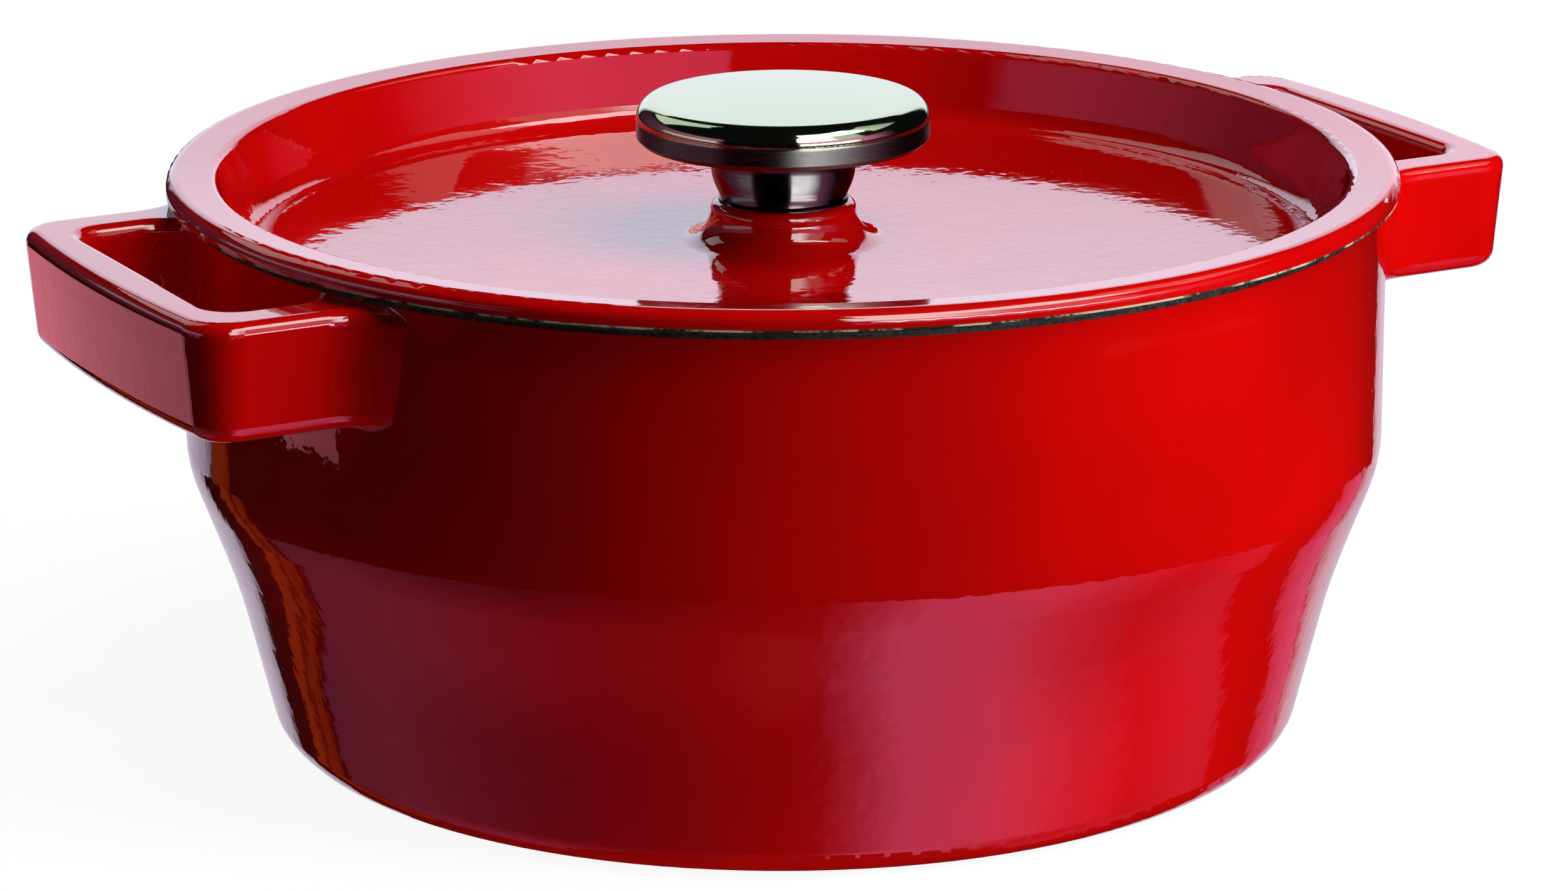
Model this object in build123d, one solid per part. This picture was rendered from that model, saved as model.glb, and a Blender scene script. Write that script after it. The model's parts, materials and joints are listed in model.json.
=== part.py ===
from build123d import *
import os

# Cast iron dutch oven: an enamelled round pot with two loop handles, and a lid with a
# deep flat recess and a steel knob. Millimetres. +Z is up, the handles lie along X, and
# the origin is the centre of the flat base. Sizes are those of the finished, enamelled
# surfaces; the iron underneath is one coat thinner.

ENAMEL = 0.4                # thickness of every enamel coat

# Pot: a tapered lower wall, a soft shoulder, then an upright wall up to a bare rim.
POT_RADIUS = 118.8
POT_HEIGHT = 109.4
SHOULDER_HEIGHT = 56.9
SHOULDER_ROUND = 24.0
WAIST_RADIUS = 109.8
WAIST_HEIGHT = 33.0
WAIST_ROUND = 120.0
BASE_RADIUS = 101.7
BASE_ROUND = 7.0
BASE_BARE_HEIGHT = 0.8      # the ground face of the base stays uncoated
WALL = 4.2
FLOOR = 4.8
FLOOR_ROUND = 11.0
RIM_BARE_HEIGHT = 1.2       # height of the uncoated band at the rim
RIM_ROUND = 0.5

# Handles: two upright rectangular loops, cast with the pot.
HANDLE_REACH = 146.5        # from the pot's axis to the middle of the outer face
HANDLE_BOW = 3.1            # how far the outer face curves back at its ends
HANDLE_HALF_WIDTH = 46.8
HANDLE_TOP = 107.7
HANDLE_DEPTH = 23.1
HANDLE_DRAFT = 5.0          # degrees, outer faces lean in towards the bottom
HANDLE_CORNER = 9.5
HANDLE_TOP_ROUND = 2.6
HANDLE_BOTTOM_ROUND = 3.4
HANDLE_BLEND = 1.0          # radius of the groove where handle meets wall
HANDLE_ROOT = 95.0          # how deep the unfused handle reaches into the pot
HANDLE_ROOT_MARGIN = 3.0    # edges this near the root stay sharp, hidden in the wall
FLARE_START = 115.0         # where the arms begin to widen towards the wall
FLARE_SLOPE = 0.78
FLARE_ROUND = 12.0
GRIP_REACH = 135.8          # far side of the finger opening
GRIP_HALF_WIDTH = 35.6
GRIP_CORNER = 6.0
GRIP_FLARE_START = 119.0
GRIP_FLARE_SLOPE = 0.72
GRIP_FLARE_ROUND = 7.0

# Lid: a flat raised rim around a deep recess, with a boss in the middle for the knob.
LID_RADIUS = 121.3
LID_TOP = 114.1
LID_TOP_ROUND = 2.4
LID_UNDERSIDE = 110.2
SEAT_INNER = 114.0          # the bare land that rests on the pot's rim
SEAT_OUTER = 118.2
DISH_LIP_RADIUS = 111.6
DISH_LIP_TOP = 113.3
DISH_LIP_ROUND = 1.8
DISH_RADIUS = 107.4
DISH_FLOOR = 98.0
DISH_ROUND = 5.0
DISH_BACK_TOP_RADIUS = 113.1
DISH_BACK_RADIUS = 110.5
DISH_BACK_ROUND = 6.0
DISH_UNDERSIDE = 93.4
BOSS_RADIUS = 14.3
BOSS_TOP = 105.8
BOSS_ROUND = 1.8
BOSS_FOOT_RADIUS = 15.2     # where the boss would meet the recess without its round
BOSS_FOOT_ROUND = 5.9
BOSS_POCKET_RADIUS = 10.0   # hollow under the boss that takes the screw's head
BOSS_POCKET_ROOF = 100.6
BOSS_POCKET_ROUND = 1.5

# Knob: a pressed steel cap closed from below by a bowl-shaped collar, held by a screw.
KNOB_RADIUS = 29.0
KNOB_TOP = 126.0
KNOB_CROWN = 1.0
KNOB_EDGE_ROUND = 3.8
KNOB_UNDERSIDE = 117.8
KNOB_BEVEL = 1.0
SHEET = 1.2                 # thickness of the knob's steel
COLLAR_RADIUS = 14.3
COLLAR_FOOT_RADIUS = 12.4
COLLAR_LIP_RADIUS = 12.9
COLLAR_LIP_HEIGHT = 0.7
COLLAR_LIP_ROUND = 0.2
COLLAR_FOOT_ROUND = 0.1
COLLAR_NECK_ROUND = 0.5      # where the collar turns out into its plate
COLLAR_PLATE_ROUND = 0.3
COLLAR_INSIDE_ROUND = 1.0
COLLAR_BOWL_HEIGHT = 5.0
COLLAR_BOWL_ROUND = 10.0
INSERT_RADIUS = 6.0
INSERT_TOP = 116.4
SCREW_RADIUS = 3.0
SCREW_TIP = 115.0
SCREW_TIP_CHAMFER = 0.6
SCREW_PLAY = 0.05
SCREW_HEAD_RADIUS = 6.0
SCREW_HEAD_HEIGHT = 3.4
SCREW_SLOT_WIDTH = 1.4
SCREW_SLOT_DEPTH = 1.5
SCREW_HOLE_RADIUS = 3.4
FLAT_WASHER_RADIUS = 8.0
FLAT_WASHER_HEIGHT = 1.2
SPRING_WASHER_RADIUS = 5.6
SPRING_WASHER_HEIGHT = 1.5
SPRING_WASHER_GAP = 1.3


def turned(corners):
    """Solid of revolution about Z from ((radius, height), corner round) pairs."""
    points = [(radius, 0, height) for (radius, height), _ in corners]
    rounds = [corner_round for _, corner_round in corners]
    outline = FilletPolyline(*points, radius=rounds, close=True)
    return revolve(make_face(outline), Axis.Z)


def disc(radius, low, high):
    """Plain round block about Z."""
    return Pos(0, 0, low) * Cylinder(
        radius, high - low, align=(Align.CENTER, Align.CENTER, Align.MIN)
    )


def ring(inner, outer, low, high):
    """Plain flat ring about Z."""
    return disc(outer, low, high) - disc(inner, low, high)


# ---- pot ----

def pot_body(inset, bottom, corner_round, top_round):
    """Round body of the pot, every wall moved in by inset and the base raised to bottom."""
    base_radius = BASE_RADIUS + (WAIST_RADIUS - BASE_RADIUS) * bottom / WAIST_HEIGHT
    return turned([
        ((0, bottom), 0),
        ((base_radius - inset, bottom), corner_round),
        ((WAIST_RADIUS - inset, WAIST_HEIGHT), WAIST_ROUND),
        ((POT_RADIUS - inset, SHOULDER_HEIGHT), SHOULDER_ROUND),
        ((POT_RADIUS - inset, POT_HEIGHT), top_round),
        ((0, POT_HEIGHT), 0),
    ])


def handle_plan():
    """Outline of a handle from above: bowed outer face, round corners, flared arms."""
    root_width = HANDLE_HALF_WIDTH + (FLARE_START - HANDLE_ROOT) * FLARE_SLOPE
    corner_reach = HANDLE_REACH - HANDLE_BOW
    arm = [
        (corner_reach, HANDLE_HALF_WIDTH),
        (FLARE_START, HANDLE_HALF_WIDTH),
        (HANDLE_ROOT, root_width),
    ]
    other_arm = [(x, -y) for x, y in reversed(arm)]
    bow = ThreePointArc(other_arm[-1], (HANDLE_REACH, 0), arm[0])
    plan = make_face([bow, *Polyline(*arm, *other_arm).edges()])
    plan = fillet(plan.vertices().sort_by(Axis.X)[2:4], FLARE_ROUND)
    return fillet(plan.vertices().sort_by(Axis.X)[-2:], HANDLE_CORNER)


def grip_plan():
    """Outline of the finger opening from above, its inner end hidden in the wall."""
    root_width = GRIP_HALF_WIDTH - (GRIP_FLARE_START - HANDLE_ROOT) * GRIP_FLARE_SLOPE
    side = [
        (GRIP_REACH, GRIP_HALF_WIDTH),
        (GRIP_FLARE_START, GRIP_HALF_WIDTH),
        (HANDLE_ROOT, root_width),
    ]
    other_side = [(x, -y) for x, y in reversed(side)]
    rounds = [GRIP_CORNER, GRIP_FLARE_ROUND, 0]
    return make_face(FilletPolyline(
        *side, *other_side, radius=[*rounds, *reversed(rounds)], close=True
    ))


def handle(inset):
    """One handle on the +X side, moved in by inset all over."""
    top = HANDLE_TOP - inset
    depth = HANDLE_DEPTH - 2 * inset
    outside = offset(handle_plan(), amount=-inset) if inset else handle_plan()
    opening = offset(grip_plan(), amount=inset) if inset else grip_plan()
    block = extrude(Pos(0, 0, top) * outside, amount=-depth, taper=HANDLE_DRAFT)
    block -= extrude(Pos(0, 0, top) * opening, amount=-depth)
    wall_side = HANDLE_ROOT + HANDLE_ROOT_MARGIN
    top_edges = block.edges().filter_by_position(Axis.Z, top, top)
    block = fillet(
        [edge for edge in top_edges if edge.center().X > wall_side],
        HANDLE_TOP_ROUND - inset,
    )
    bottom = top - depth
    bottom_edges = block.edges().filter_by_position(Axis.Z, bottom, bottom)
    return fillet(
        [edge for edge in bottom_edges if edge.center().X > wall_side],
        HANDLE_BOTTOM_ROUND - inset,
    )


def pot_outside(inset):
    """Full outer shape of the pot with both handles, not yet hollowed."""
    body = pot_body(inset, 0, BASE_ROUND - inset, RIM_ROUND)
    right = handle(inset)
    left = Rot(0, 0, 180) * right
    whole = body + right + left
    joint_edges = new_edges(body, right, left, combined=whole)
    return fillet(joint_edges, HANDLE_BLEND + inset)


iron_outside = pot_outside(ENAMEL)
iron_cavity = pot_body(WALL - ENAMEL, FLOOR - ENAMEL, FLOOR_ROUND, 0)
pot_casting = iron_outside - iron_cavity

coat_top = POT_HEIGHT - RIM_BARE_HEIGHT
widest = 2 * HANDLE_REACH
pot_outer_enamel = (pot_outside(0) - iron_outside) & disc(widest, BASE_BARE_HEIGHT, coat_top)
pot_inner_enamel = (
    iron_cavity - pot_body(WALL, FLOOR, FLOOR_ROUND, 0)
) & disc(widest, 0, coat_top)


# ---- lid ----

def lid_body(top_inset, under_inset):
    """Solid lid, its upper and lower faces moved into the iron by the two insets."""
    underside = LID_UNDERSIDE + under_inset
    dish_back = DISH_UNDERSIDE + under_inset
    pocket_roof = BOSS_POCKET_ROOF + under_inset
    return turned([
        ((0, pocket_roof), 0),
        ((BOSS_POCKET_RADIUS + under_inset, pocket_roof), BOSS_POCKET_ROUND),
        ((BOSS_POCKET_RADIUS + under_inset, dish_back), BOSS_POCKET_ROUND),
        ((DISH_BACK_RADIUS - under_inset, dish_back), DISH_BACK_ROUND - under_inset),
        ((DISH_BACK_TOP_RADIUS - under_inset, underside), 0),
        ((LID_RADIUS - top_inset, underside), 0),
        ((LID_RADIUS - top_inset, LID_TOP - top_inset), LID_TOP_ROUND - top_inset),
        ((DISH_LIP_RADIUS + top_inset, DISH_LIP_TOP - top_inset), DISH_LIP_ROUND - top_inset),
        ((DISH_RADIUS + top_inset, DISH_FLOOR - top_inset), DISH_ROUND + top_inset),
        ((BOSS_FOOT_RADIUS - top_inset, DISH_FLOOR - top_inset), BOSS_FOOT_ROUND + top_inset),
        ((BOSS_RADIUS - top_inset, BOSS_TOP - top_inset), BOSS_ROUND - top_inset),
        ((0, BOSS_TOP - top_inset), 0),
    ])


screw_hole = disc(SCREW_HOLE_RADIUS, DISH_UNDERSIDE, LID_TOP)
seat_land = ring(SEAT_INNER, SEAT_OUTER, POT_HEIGHT, LID_UNDERSIDE + 2 * ENAMEL)
lid_iron = lid_body(ENAMEL, ENAMEL) + seat_land
lid_with_outer_coat = lid_body(0, ENAMEL)
lid_casting = lid_iron - screw_hole
lid_outer_enamel = lid_with_outer_coat - lid_iron - screw_hole
lid_inner_enamel = lid_body(0, 0) - lid_with_outer_coat - lid_iron - screw_hole


# ---- knob ----

def knob_cap():
    """Pressed cap: a slightly crowned top plate with a bevelled skirt, hollow underneath."""
    middle = (0, 0, KNOB_TOP + KNOB_CROWN)
    edge = (KNOB_RADIUS, 0, KNOB_TOP)
    crown = TangentArc(middle, edge, tangent=(1, 0, 0))
    sides = Polyline(
        edge,
        (KNOB_RADIUS, 0, KNOB_UNDERSIDE + KNOB_BEVEL),
        (KNOB_RADIUS - KNOB_BEVEL, 0, KNOB_UNDERSIDE),
        (0, 0, KNOB_UNDERSIDE),
        middle,
    )
    block = revolve(make_face([crown, *sides.edges()]), Axis.Z)
    rim = block.edges().filter_by_position(Axis.Z, KNOB_TOP, KNOB_TOP)
    block = fillet(rim, KNOB_EDGE_ROUND)
    hollow_top = KNOB_TOP - SHEET
    hollow = disc(KNOB_RADIUS - SHEET, KNOB_UNDERSIDE - SHEET, hollow_top)
    ceiling = hollow.edges().filter_by_position(Axis.Z, hollow_top, hollow_top)
    return block - fillet(ceiling, KNOB_EDGE_ROUND - SHEET)


def knob_collar():
    """Bowl-shaped collar with a small lip at its foot and a plate that closes the cap."""
    bowl_top = BOSS_TOP + COLLAR_BOWL_HEIGHT
    plate_top = KNOB_UNDERSIDE + SHEET
    cut_top = plate_top + SHEET     # the hollow is cut past the plate's upper face
    outside = turned([
        ((0, BOSS_TOP), 0),
        ((COLLAR_LIP_RADIUS, BOSS_TOP), COLLAR_LIP_ROUND),
        ((COLLAR_LIP_RADIUS, BOSS_TOP + COLLAR_LIP_HEIGHT), COLLAR_LIP_ROUND),
        ((COLLAR_FOOT_RADIUS, BOSS_TOP + COLLAR_LIP_HEIGHT), COLLAR_FOOT_ROUND),
        ((COLLAR_RADIUS, bowl_top), COLLAR_BOWL_ROUND),
        ((COLLAR_RADIUS, KNOB_UNDERSIDE), COLLAR_NECK_ROUND),
        ((KNOB_RADIUS - SHEET, KNOB_UNDERSIDE), COLLAR_PLATE_ROUND),
        ((KNOB_RADIUS - SHEET, plate_top), 0),
        ((0, plate_top), 0),
    ])
    inside = turned([
        ((0, BOSS_TOP + SHEET), 0),
        ((COLLAR_FOOT_RADIUS - SHEET, BOSS_TOP + SHEET), COLLAR_INSIDE_ROUND),
        ((COLLAR_RADIUS - SHEET, bowl_top), COLLAR_BOWL_ROUND),
        ((COLLAR_RADIUS - SHEET, cut_top), 0),
        ((0, cut_top), 0),
    ])
    return outside - inside - disc(INSERT_RADIUS, BOSS_TOP, BOSS_TOP + SHEET)


def knob_insert():
    """Threaded steel bush welded into the collar's foot."""
    return ring(SCREW_RADIUS + SCREW_PLAY, INSERT_RADIUS, BOSS_TOP, INSERT_TOP)


washer_top = BOSS_POCKET_ROOF
spring_top = washer_top - FLAT_WASHER_HEIGHT
head_top = spring_top - SPRING_WASHER_HEIGHT


def knob_screw():
    """Slotted pan-head screw that comes up through the lid into the knob."""
    head_bottom = head_top - SCREW_HEAD_HEIGHT
    head = disc(SCREW_HEAD_RADIUS, head_bottom, head_top)
    head = fillet(head.edges().sort_by(Axis.Z)[0], SCREW_HEAD_HEIGHT / 2)
    slot = Pos(0, 0, head_bottom) * Box(
        3 * SCREW_HEAD_RADIUS, SCREW_SLOT_WIDTH, 2 * SCREW_SLOT_DEPTH
    )
    shank = disc(SCREW_RADIUS, head_top, SCREW_TIP)
    shank = chamfer(shank.edges().sort_by(Axis.Z)[-1], SCREW_TIP_CHAMFER)
    return head - slot + shank


def flat_washer():
    """Wide washer that spreads the screw's pull over the enamel."""
    return ring(
        SCREW_RADIUS + SCREW_PLAY, FLAT_WASHER_RADIUS, washer_top - FLAT_WASHER_HEIGHT, washer_top
    )


def spring_washer():
    """Split lock washer, pressed flat between the flat washer and the screw's head."""
    whole = ring(SCREW_RADIUS + SCREW_PLAY, SPRING_WASHER_RADIUS, head_top, spring_top)
    gap = Pos(SPRING_WASHER_RADIUS, 0, head_top) * Box(
        2 * SPRING_WASHER_RADIUS, SPRING_WASHER_GAP, 4 * SPRING_WASHER_HEIGHT
    )
    return whole - gap


# ---- files ----

nodes = {
    "pot_casting": pot_casting,
    "pot_outer_enamel": pot_outer_enamel,
    "pot_inner_enamel": pot_inner_enamel,
    "lid_casting": lid_casting,
    "lid_outer_enamel": lid_outer_enamel,
    "lid_inner_enamel": lid_inner_enamel,
    "knob_cap": knob_cap(),
    "knob_collar": knob_collar(),
    "knob_insert": knob_insert(),
    "knob_screw": knob_screw(),
    "flat_washer": flat_washer(),
    "spring_washer": spring_washer(),
}
os.makedirs("parts", exist_ok=True)
for name, shape in nodes.items():
    export_step(shape, f"parts/{name}.step")
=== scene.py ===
import json
import math

import bpy
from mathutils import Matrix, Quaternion, Vector

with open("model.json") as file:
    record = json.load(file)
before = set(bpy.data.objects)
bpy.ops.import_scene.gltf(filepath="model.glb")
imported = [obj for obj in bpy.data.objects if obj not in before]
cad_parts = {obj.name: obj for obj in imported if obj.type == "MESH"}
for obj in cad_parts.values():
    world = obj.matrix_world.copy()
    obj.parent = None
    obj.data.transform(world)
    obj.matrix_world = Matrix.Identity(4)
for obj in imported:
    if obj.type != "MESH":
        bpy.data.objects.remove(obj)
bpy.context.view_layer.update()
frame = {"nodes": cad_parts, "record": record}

# Sizes are in metres. An azimuth is in degrees round the pot's axis, from the camera's side of
# the pot, and is positive to the camera's right.

# ---- the camera's place ----
CAMERA_TURN = math.radians(-28.1)   # the camera stands this far round from the pot's front
CAMERA_RISE = math.radians(15.84)
CAMERA_ROLL = math.radians(-0.17)
CAMERA_DISTANCE = 1.1834
CAMERA_LENS = 135.85                # millimetres, as is the sensor
CAMERA_SENSOR = 36.0
CAMERA_NEAREST = 0.05
AIM = Vector((0.0, 0.0, 0.0551))

# ---- where a material changes over a part ----
PANEL_RADIUS = 0.100                # flat floor of the lid's recess
PANEL_FADE = 0.102
PANEL_TOP = 0.099
PANEL_TOP_FADE = 0.100
PANEL_BOTTOM = 0.095
PANEL_BOTTOM_FADE = 0.094
PANEL_LEAN = -0.5                   # how strongly the panel is dished, per metre
EDGE_RADIUS = 0.1206                # upright outer edge of the lid
EDGE_RADIUS_FADE = 0.1196
EDGE_BOTTOM = 0.110
EDGE_BOTTOM_FADE = 0.109
EDGE_LIFT = 0.10                    # how far that edge is turned upwards
RIPPLE_END = 0.1005                 # above this height the enamel starts to lie smoother
RIPPLE_LEAST_FROM = 0.1035
RIPPLE_LEAST = 0.35
BAND_TOP = 0.1216                   # brushed side band of the knob, below its rounded edge
BAND_TOP_FADE = 0.1226
BAND_LIFT = 0.38                    # how far the band is turned upwards
BRUSH_STRETCH = 900.0               # how much finer the brushing is across than along
BRUSH_TURN = 0.25                   # a quarter turn, so that the gloss spreads across the lines
COLLAR_STRAIGHT = 0.1155            # the collar's surface is turned below this height
COLLAR_LIFT = 85.0                  # by this much for each metre

# ---- the studio ----
FLOOR_REACH = 15.0
FLOOR_GAP = 0.0003                  # keeps the floor clear of the pot's flat base
FLOOR_GLOW = 0.92
WALL_DISTANCE = 2.0
CARD_STEP = 1.0                     # degrees of azimuth to one face of a card
DARK_LEVEL = 0.004                  # of the world where no card is mirrored
WHITE = (1.0, 1.0, 1.0)
LILAC = (0.96, 0.82, 1.0)
BLUISH = (0.83, 0.80, 0.96)
ROSE = (1.0, 0.27, 0.58)
MAUVE = (1.05, 0.27, 0.36)
RUST = (0.35, 0.035, 0.008)


# ---- placing things ----

def around(azimuth, distance, height):
    """A place in the studio."""
    angle = math.radians(azimuth - 90.0) + CAMERA_TURN
    return Vector((distance * math.cos(angle), distance * math.sin(angle), height))


def link(piece):
    bpy.context.scene.collection.objects.link(piece)
    return piece


def aim(piece, roll=0.0):
    """Turns a camera or lamp so that it looks at the pot."""
    look = (AIM - piece.location).to_track_quat("-Z", "Y")
    piece.rotation_euler = (look @ Quaternion((0, 0, 1), roll)).to_euler()


def add_camera():
    camera = link(bpy.data.objects.new("camera", bpy.data.cameras.new("camera")))
    flat = CAMERA_DISTANCE * math.cos(CAMERA_RISE)
    camera.location = around(0, flat, AIM.z + CAMERA_DISTANCE * math.sin(CAMERA_RISE))
    camera.data.lens = CAMERA_LENS
    camera.data.sensor_width = CAMERA_SENSOR
    camera.data.clip_start = CAMERA_NEAREST
    aim(camera, CAMERA_ROLL)
    bpy.context.scene.camera = camera


# ---- shader building blocks ----

class Graph:
    """A material's node tree, with short ways to add what the materials here share."""

    def __init__(self, name):
        self.material = bpy.data.materials.new(name)
        self.material.use_nodes = True
        self.nodes = self.material.node_tree.nodes
        self.links = self.material.node_tree.links
        self.shader = self.nodes["Principled BSDF"]
        coords = self.nodes.new("ShaderNodeTexCoord")
        self.place = coords.outputs["Object"]

    def feed(self, socket, value):
        """Sets a socket to a number or colour, or links it to another node's output."""
        if isinstance(value, bpy.types.NodeSocket):
            self.links.new(value, socket)
        elif isinstance(value, tuple) and len(value) == 3 and socket.type == "RGBA":
            socket.default_value = (*value, 1.0)
        else:
            socket.default_value = value

    def finish(self, name, value):
        """Sets one input of the surface shader."""
        self.feed(self.shader.inputs[name], value)

    def math(self, operation, a, b=0.0):
        node = self.nodes.new("ShaderNodeMath")
        node.operation = operation
        self.feed(node.inputs[0], a)
        self.feed(node.inputs[1], b)
        return node.outputs[0]

    def step(self, value, low, high, out_low=0.0, out_high=1.0):
        """Smooth change from out_low to out_high as value goes from low to high."""
        node = self.nodes.new("ShaderNodeMapRange")
        node.interpolation_type = "SMOOTHSTEP"
        self.feed(node.inputs["Value"], value)
        self.feed(node.inputs["From Min"], low)
        self.feed(node.inputs["From Max"], high)
        self.feed(node.inputs["To Min"], out_low)
        self.feed(node.inputs["To Max"], out_high)
        return node.outputs["Result"]

    def noise(self, scale, detail=2.0, roughness=0.5, place=None):
        node = self.nodes.new("ShaderNodeTexNoise")
        self.feed(node.inputs["Vector"], place or self.place)
        self.feed(node.inputs["Scale"], scale)
        self.feed(node.inputs["Detail"], detail)
        self.feed(node.inputs["Roughness"], roughness)
        return node.outputs["Fac"]

    def dots(self, spacing, radius, share):
        """1 inside small round specks, 0 elsewhere; share of the cells have one."""
        cells = self.nodes.new("ShaderNodeTexVoronoi")
        self.feed(cells.inputs["Vector"], self.place)
        self.feed(cells.inputs["Scale"], 1.0 / spacing)
        spot = self.step(cells.outputs["Distance"], radius / spacing, 0.5 * radius / spacing)
        split = self.nodes.new("ShaderNodeSeparateColor")
        self.feed(split.inputs[0], cells.outputs["Color"])
        chosen = self.math("LESS_THAN", split.outputs[0], share)
        return self.math("MULTIPLY", spot, chosen)

    def mix(self, factor, a, b):
        node = self.nodes.new("ShaderNodeMix")
        node.data_type = "RGBA"
        self.feed(node.inputs["Factor"], factor)
        self.feed(node.inputs["A"], a)
        self.feed(node.inputs["B"], b)
        return node.outputs["Result"]

    def vector(self, x, y, z):
        node = self.nodes.new("ShaderNodeCombineXYZ")
        for socket, value in zip(node.inputs, (x, y, z)):
            self.feed(socket, value)
        return node.outputs[0]

    def axes(self):
        """The x, y and z of a surface point."""
        split = self.nodes.new("ShaderNodeSeparateXYZ")
        self.feed(split.inputs[0], self.place)
        return split.outputs[:3]

    def radius(self, x, y):
        """Distance of a surface point from the pot's axis."""
        squares = self.math("ADD", self.math("POWER", x, 2.0), self.math("POWER", y, 2.0))
        return self.math("SQRT", squares)

    def turned(self, shift):
        """The surface's own direction, turned by a small shift."""
        geometry = self.nodes.new("ShaderNodeNewGeometry")
        add = self.nodes.new("ShaderNodeVectorMath")
        add.operation = "ADD"
        self.feed(add.inputs[0], geometry.outputs["Normal"])
        self.feed(add.inputs[1], shift)
        unit = self.nodes.new("ShaderNodeVectorMath")
        unit.operation = "NORMALIZE"
        self.feed(unit.inputs[0], add.outputs[0])
        return unit.outputs[0]

    def bump(self, height, distance, base=None):
        """Normal for a surface raised by height (0 to 1) times distance, in metres."""
        node = self.nodes.new("ShaderNodeBump")
        self.feed(node.inputs["Height"], height)
        self.feed(node.inputs["Distance"], distance)
        if base is not None:
            self.feed(node.inputs["Normal"], base)
        return node.outputs["Normal"]


# ---- materials ----

def lid_form(g):
    """Surface direction that dishes the lid's panel a little and rounds the lid's outer edge."""
    x, y, z = g.axes()
    radius = g.radius(x, y)
    inside = g.step(radius, PANEL_FADE, PANEL_RADIUS)
    below = g.step(z, PANEL_TOP_FADE, PANEL_TOP)
    above = g.step(z, PANEL_BOTTOM_FADE, PANEL_BOTTOM)
    panel = g.math("MULTIPLY", g.math("MULTIPLY", inside, below), above)
    lean = g.math("MULTIPLY", panel, PANEL_LEAN)
    outside = g.step(radius, EDGE_RADIUS_FADE, EDGE_RADIUS)
    edge = g.math("MULTIPLY", outside, g.step(z, EDGE_BOTTOM_FADE, EDGE_BOTTOM))
    return g.turned(g.vector(
        g.math("MULTIPLY", x, lean),
        g.math("MULTIPLY", y, lean),
        g.math("MULTIPLY", edge, EDGE_LIFT),
    ))


def red_enamel():
    """Deep gloss red with a fine orange peel and a few dark specks."""
    g = Graph("red_enamel")
    tone = g.noise(16.0, 3.0)
    color = g.mix(g.step(tone, 0.3, 0.7), (0.50, 0.0010, 0.0012), (0.62, 0.0014, 0.0012))
    specks = g.dots(0.0031, 0.00022, 0.5)
    color = g.mix(g.math("MULTIPLY", specks, 0.55), color, (0.10, 0.0006, 0.0008))
    g.finish("Base Color", color)
    g.finish("Roughness", g.step(g.noise(55.0, 3.0), 0.3, 0.75, 0.03, 0.07))
    g.finish("IOR", 1.5)
    g.finish("Coat Weight", 1.0)
    g.finish("Coat IOR", 1.6)
    g.finish("Coat Roughness", 0.03)
    z = g.axes()[2]
    ripple = g.step(z, RIPPLE_END, RIPPLE_LEAST_FROM, 1.0, RIPPLE_LEAST)
    peel = g.bump(g.math("MULTIPLY", g.noise(290.0, 1.5), ripple), 0.000055, lid_form(g))
    uneven = g.bump(g.math("MULTIPLY", g.noise(34.0, 1.0), ripple), 0.00010, peel)
    surface = g.bump(g.math("MULTIPLY", specks, -1.0), 0.00001, uneven)
    g.finish("Normal", surface)
    g.finish("Coat Normal", surface)
    return g.material


def cream_enamel():
    """Pale inner coat, soiled and chipped where it ends at the lid's outer edge."""
    g = Graph("cream_enamel")
    tone = g.noise(30.0, 3.0)
    color = g.mix(g.step(tone, 0.3, 0.7), (0.74, 0.64, 0.47), (0.80, 0.72, 0.56))
    color = g.mix(g.dots(0.004, 0.0002, 0.4), color, (0.25, 0.2, 0.15))
    x, y, _ = g.axes()
    edge = g.step(g.radius(x, y), EDGE_RADIUS_FADE, EDGE_RADIUS)
    chipped = g.math("MULTIPLY", edge, g.step(g.noise(130.0, 4.0, 0.7), 0.42, 0.56))
    color = g.mix(g.math("MULTIPLY", edge, 0.55), color, (0.30, 0.30, 0.20))
    g.finish("Base Color", g.mix(chipped, color, (0.03, 0.025, 0.02)))
    g.finish("Roughness", g.step(g.noise(60.0), 0.3, 0.7, 0.08, 0.16))
    peel = g.bump(g.noise(260.0, 1.5), 0.00005)
    g.finish("Normal", g.bump(g.noise(30.0, 1.0), 0.0002, peel))
    return g.material


def bare_iron():
    """Dark ground iron with a rough grain."""
    g = Graph("bare_iron")
    grain = g.noise(900.0, 4.0, 0.65)
    color = g.mix(g.step(grain, 0.35, 0.7), (0.008, 0.008, 0.009), (0.055, 0.052, 0.049))
    g.finish("Base Color", color)
    g.finish("Metallic", 0.3)
    g.finish("Roughness", g.step(g.noise(300.0, 3.0), 0.3, 0.7, 0.45, 0.75))
    g.finish("Normal", g.bump(grain, 0.00012))
    return g.material


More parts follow.
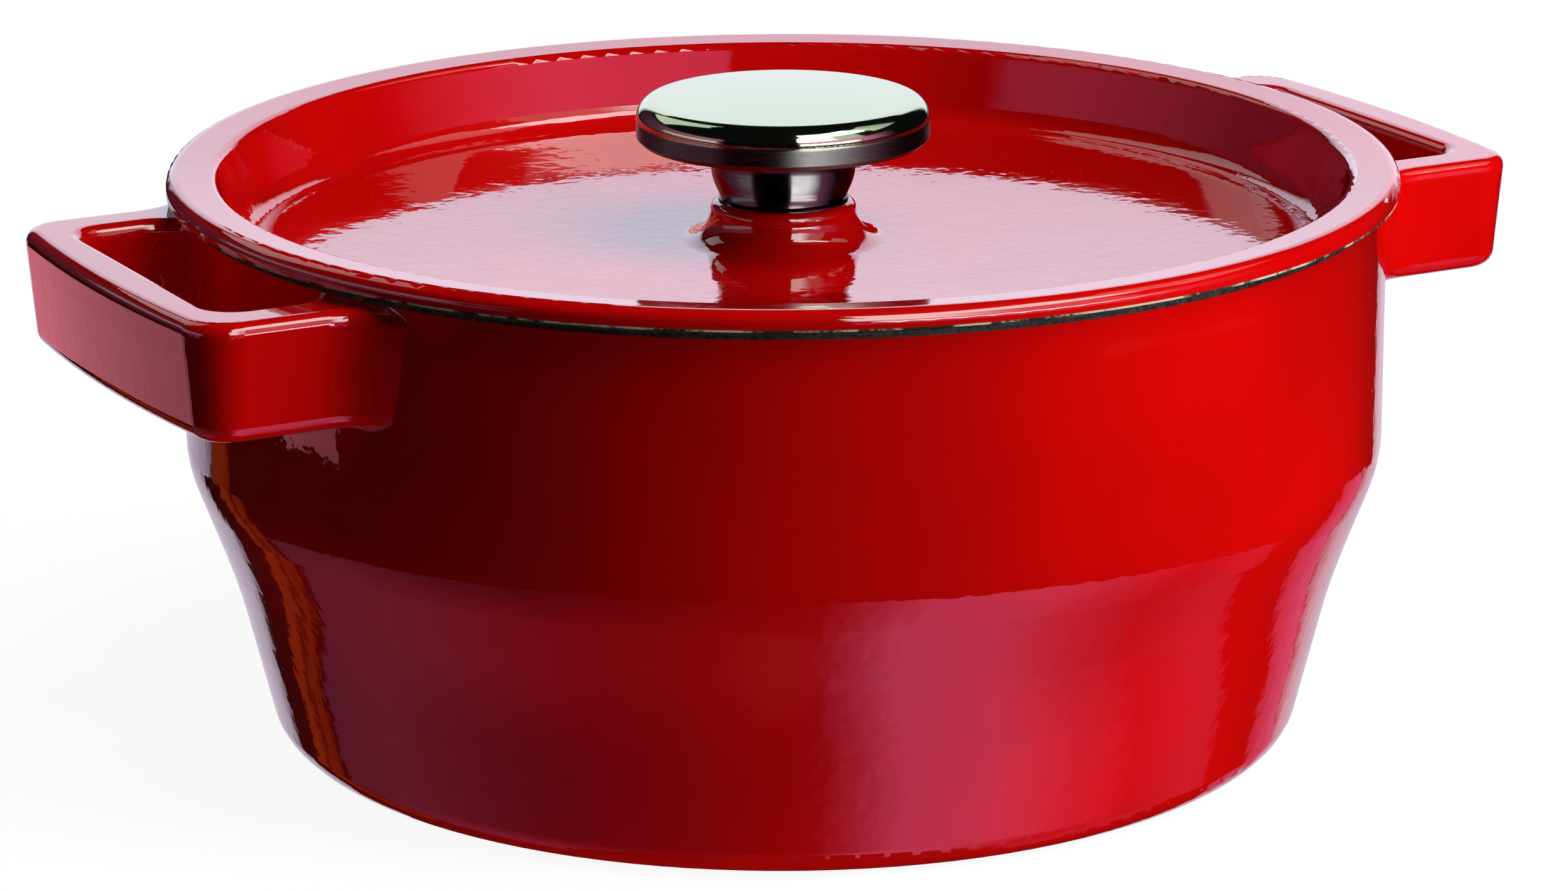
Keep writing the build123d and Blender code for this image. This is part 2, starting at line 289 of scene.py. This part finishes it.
def polished_steel():
    """Mirror-bright top with a brushed band round the side; the band's darkness is painted shade."""
    g = Graph("polished_steel")
    x, y, z = g.axes()
    along = g.vector(g.math("ARCTAN2", y, x), g.math("MULTIPLY", z, BRUSH_STRETCH), 0.0)
    scratches = g.noise(6.0, 4.0, 0.6, along)
    band = g.step(z, BAND_TOP_FADE, BAND_TOP)
    # painted shade: the band's steel is made far darker than steel is, standing for the dark it
    # mirrors; the brushing lines vary it
    tone = g.mix(scratches, (0.09, 0.09, 0.09), (0.16, 0.16, 0.155))
    g.finish("Base Color", g.mix(band, (0.61, 0.77, 0.52), tone))
    g.finish("Metallic", 1.0)
    brushed = g.step(scratches, 0.3, 0.7, 0.22, 0.36)
    mirror = g.step(g.noise(80.0, 3.0), 0.3, 0.7, 0.05, 0.09)
    top = g.math("SUBTRACT", 1.0, band)
    g.finish("Roughness", g.math(
        "ADD", g.math("MULTIPLY", band, brushed), g.math("MULTIPLY", top, mirror)
    ))
    g.finish("Anisotropic", 0.8)
    g.finish("Anisotropic Rotation", BRUSH_TURN)
    around_axis = g.nodes.new("ShaderNodeTangent")
    around_axis.direction_type = "RADIAL"
    around_axis.axis = "Z"
    g.finish("Tangent", around_axis.outputs[0])
    form = g.turned(g.vector(0.0, 0.0, g.math("MULTIPLY", band, BAND_LIFT)))
    grooves = g.bump(g.math("MULTIPLY", scratches, band), 0.00004, form)
    g.finish("Normal", g.bump(g.noise(45.0, 1.0), 0.00002, grooves))
    return g.material


def collar_steel():
    """Steel made darker than steel is, as painted shade, its direction turned up more and more
    towards the collar's foot.
    """
    g = Graph("collar_steel")
    # painted shade: a dark copy of the knob's steel, standing for the dark the collar mirrors under
    # the cap
    color = g.mix(g.noise(120.0, 3.0), (0.10, 0.095, 0.10), (0.14, 0.135, 0.135))
    g.finish("Base Color", color)
    g.finish("Metallic", 1.0)
    g.finish("Roughness", g.step(g.noise(150.0, 3.0), 0.3, 0.7, 0.10, 0.16))
    z = g.axes()[2]
    below = g.math("MAXIMUM", g.math("SUBTRACT", COLLAR_STRAIGHT, z), 0.0)
    form = g.turned(g.vector(0.0, 0.0, g.math("MULTIPLY", below, COLLAR_LIFT)))
    g.finish("Normal", g.bump(g.noise(60.0, 1.0), 0.00002, form))
    return g.material


def plain_steel():
    """Satin steel of the screw and the pieces under its head."""
    g = Graph("plain_steel")
    g.finish("Base Color", (0.50, 0.50, 0.50))
    g.finish("Metallic", 1.0)
    g.finish("Roughness", g.step(g.noise(400.0, 3.0), 0.3, 0.7, 0.25, 0.4))
    return g.material


def dress():
    """Gives each CAD node the material of its slot; the collar has one of its own."""
    made = {
        "red_enamel": red_enamel(),
        "cream_enamel": cream_enamel(),
        "cast_iron": bare_iron(),
        "polished_steel": polished_steel(),
        "plain_steel": plain_steel(),
    }
    special = {"knob_collar": collar_steel()}
    for part in frame["record"]["subparts"]:
        mesh = frame["nodes"][part["node"]].data
        mesh.materials.clear()
        mesh.materials.append(special.get(part["node"], made[part["material_slot"]]))


# ---- studio ----

def lamp(name, azimuth, distance, height, size, power):
    """A softbox that lights the object; the cards below stand in for its mirror image."""
    data = bpy.data.lights.new(name, "AREA")
    data.shape = "RECTANGLE"
    data.size, data.size_y = size
    data.energy = power
    piece = link(bpy.data.objects.new(name, data))
    piece.location = around(azimuth, distance, height)
    piece.visible_glossy = False
    aim(piece)


def lamps():
    """Soft light from the right and above, with a weaker fill from the left and behind."""
    lamp("key", 75, 0.90, 0.12, (0.6, 0.4), 6.0)
    lamp("key_high", 62, 0.90, 0.55, (0.6, 0.4), 3.9)
    lamp("bounce", 30, 0.22, -0.45, (0.5, 0.3), 2.1)
    lamp("back_left", -100, 1.2, 0.6, (0.6, 0.6), 1.1)
    lamp("top", 66, 0.6, 1.2, (0.9, 0.9), 12.8)
    lamp("back", 172, 1.0, 0.30, (0.6, 0.4), 2.5)


def glow(name, color):
    """Light that a card gives off, as bright as its "level" attribute says."""
    material = bpy.data.materials.new(name)
    material.use_nodes = True
    nodes, links = material.node_tree.nodes, material.node_tree.links
    nodes.clear()
    level = nodes.new("ShaderNodeAttribute")
    level.attribute_name = "level"
    light = nodes.new("ShaderNodeEmission")
    light.inputs["Color"].default_value = (*color, 1.0)
    links.new(level.outputs["Fac"], light.inputs["Strength"])
    out = nodes.new("ShaderNodeOutputMaterial")
    links.new(light.outputs[0], out.inputs["Surface"])
    return material


def brightness(profile, azimuth):
    """Brightness at an azimuth, from (azimuth, brightness) pairs in rising order."""
    for (left, low), (right, high) in zip(profile, profile[1:]):
        if left <= azimuth <= right:
            share = (azimuth - left) / (right - left)
            return low + (high - low) * share
    return 0.0


def card(name, near, far, profile, color=WHITE):
    """A studio card round the object, seen only in reflections.

    near and far are the (distance, height) of its two edges.
    """
    first, last = profile[0][0], profile[-1][0]
    steps = math.ceil((last - first) / CARD_STEP)
    points, levels = [], []
    for i in range(steps + 1):
        azimuth = first + (last - first) * i / steps
        points += [around(azimuth, *near), around(azimuth, *far)]
        levels += [brightness(profile, azimuth)] * 2
    faces = [(2 * i, 2 * i + 1, 2 * i + 3, 2 * i + 2) for i in range(steps)]
    mesh = bpy.data.meshes.new(name)
    mesh.from_pydata(points, [], faces)
    mesh.attributes.new("level", "FLOAT", "POINT").data.foreach_set("value", levels)
    mesh.materials.append(glow(name, color))
    piece = link(bpy.data.objects.new(name, mesh))
    piece.visible_camera = False
    piece.visible_diffuse = False
    piece.visible_shadow = False


def wall(name, elevations, profile, color=WHITE):
    """An upright card far off, between two elevations in degrees."""
    low, high = [AIM.z + WALL_DISTANCE * math.tan(math.radians(e)) for e in elevations]
    card(name, (WALL_DISTANCE, low), (WALL_DISTANCE, high), profile, color)


def table_cards():
    """What the lower half of the pot mirrors: the table, warm at its far left."""
    wall("table_front", (-66, -27), [
        (-123, 0.0), (-122, 0.13), (-100, 0.2), (-84, 0.17), (-53, 0.07), (0, 0.02), (8, 0.05),
        (17, 0.4), (30, 1.2), (53, 1.0), (72, 0.4), (89, 0.1), (108, 0.2), (114, 0.15), (116, 0.0),
    ], ROSE)
    wall("table_rust", (-50, -17), [
        (-136, 0.0), (-135, 1.0), (-132, 1.0), (-130, 0.2), (-128, 1.0), (-125, 0.5), (-124, 0.0),
    ], RUST)
    wall("table_rust_top", (-17, -12), [(-139, 0.0), (-137, 0.8), (-131, 0.8), (-128, 0.0)], RUST)


def edge_cards():
    """Pale strips that draw the pot's left and right outlines."""
    wall("edge_left", (-17, -6), [(-180, 0.7), (-144, 0.5), (-139, 0.25), (-138, 0.0)], LILAC)
    wall("edge_left_low", (-36, -17), [(-180, 0.7), (-150, 0.6), (-147, 0.3), (-146, 0.0)], LILAC)
    wall("edge_right", (-17, -6), [(152, 0.0), (153, 0.5), (158, 0.7), (180, 0.7)], LILAC)
    wall("edge_right_low", (-40, -17), [(132, 0.0), (134, 0.25), (145, 0.5), (146, 0.0)], ROSE)
    wall("edge_right_end", (-40, -17), [(146, 0.25), (152, 0.55), (180, 0.7)], LILAC)


def softbox_cards():
    """The softboxes themselves, mirrored in the lid, the knob and the handles."""
    card("handle_card", (0.20, 0.047), (0.20, 0.085), [(-112, 1.1), (-90, 0.9), (-66, 0.7)], MAUVE)
    wall("backdrop", (0, 34), [(152, 0.0), (158, 1.25), (202, 1.25), (208, 0.0)], BLUISH)
    wall("softbox", (3, 24), [
        (11, 0.0), (12.5, 1.0), (50, 1.1), (75, 0.45), (92, 0.06), (100, 0.0),
    ], ROSE)
    wall("softbox_core", (24, 46), [
        (11, 0.0), (12.5, 5.0), (28, 5.0), (46, 0.7), (68, 0.5), (70, 0.0),
    ])
    wall("softbox_top", (46, 64), [(16, 0.0), (18, 5.0), (85, 5.0), (88, 0.0)])
    wall("side_light", (0, 24), [
        (-150, 0.04), (-115, 0.12), (-92, 0.28), (-66, 0.45), (-52, 0.4), (-46, 0.0),
    ], ROSE)
    wall("side_light_back", (28, 60), [(-150, 0.0), (-148, 0.7), (-118, 0.7), (-116, 0.0)])
    card("knob_card", (0.30, 0.139), (0.30, 0.169), [
        (-105, 0.0), (-100, 0.5), (-52, 0.7), (-48, 0.0), (12, 0.0), (14, 7.0), (40, 7.0), (62, 0.0),
    ])
    wall("softbox_side", (38, 60), [(88, 0.8), (120, 0.4), (126, 0.0)])


def floor():
    """Pale floor that the object neither mirrors nor is lit by."""
    mesh = bpy.data.meshes.new("floor")
    corners = [(-1, -1), (1, -1), (1, 1), (-1, 1)]
    points = [(FLOOR_REACH * x, FLOOR_REACH * y, -FLOOR_GAP) for x, y in corners]
    mesh.from_pydata(points, [], [(0, 1, 2, 3)])
    material = bpy.data.materials.new("floor")
    material.use_nodes = True
    shader = material.node_tree.nodes["Principled BSDF"]
    shader.inputs["Base Color"].default_value = (0.16, 0.16, 0.16, 1)
    shader.inputs["Roughness"].default_value = 0.8
    shader.inputs["Specular IOR Level"].default_value = 0.0
    shader.inputs["Emission Color"].default_value = (1, 1, 1, 1)
    shader.inputs["Emission Strength"].default_value = FLOOR_GLOW
    mesh.materials.append(material)
    piece = link(bpy.data.objects.new("floor", mesh))
    piece.visible_diffuse = False
    piece.visible_glossy = False
    piece.visible_shadow = False


def surroundings():
    """White behind the object, and almost dark in its reflections."""
    world = bpy.data.worlds.new("world")
    bpy.context.scene.world = world
    world.use_nodes = True
    nodes, links = world.node_tree.nodes, world.node_tree.links
    dark = nodes["Background"]
    dark.inputs["Color"].default_value = (1, 1, 1, 1)
    dark.inputs["Strength"].default_value = DARK_LEVEL
    pale = nodes.new("ShaderNodeBackground")
    pale.inputs["Color"].default_value = (1, 1, 1, 1)
    pale.inputs["Strength"].default_value = 1.0
    rays = nodes.new("ShaderNodeLightPath")
    choose = nodes.new("ShaderNodeMixShader")
    links.new(rays.outputs["Is Camera Ray"], choose.inputs[0])
    links.new(dark.outputs[0], choose.inputs[1])
    links.new(pale.outputs[0], choose.inputs[2])
    links.new(choose.outputs[0], nodes["World Output"].inputs["Surface"])
    bpy.context.scene.view_settings.view_transform = "Standard"


add_camera()
dress()
floor()
lamps()
table_cards()
edge_cards()
softbox_cards()
surroundings()
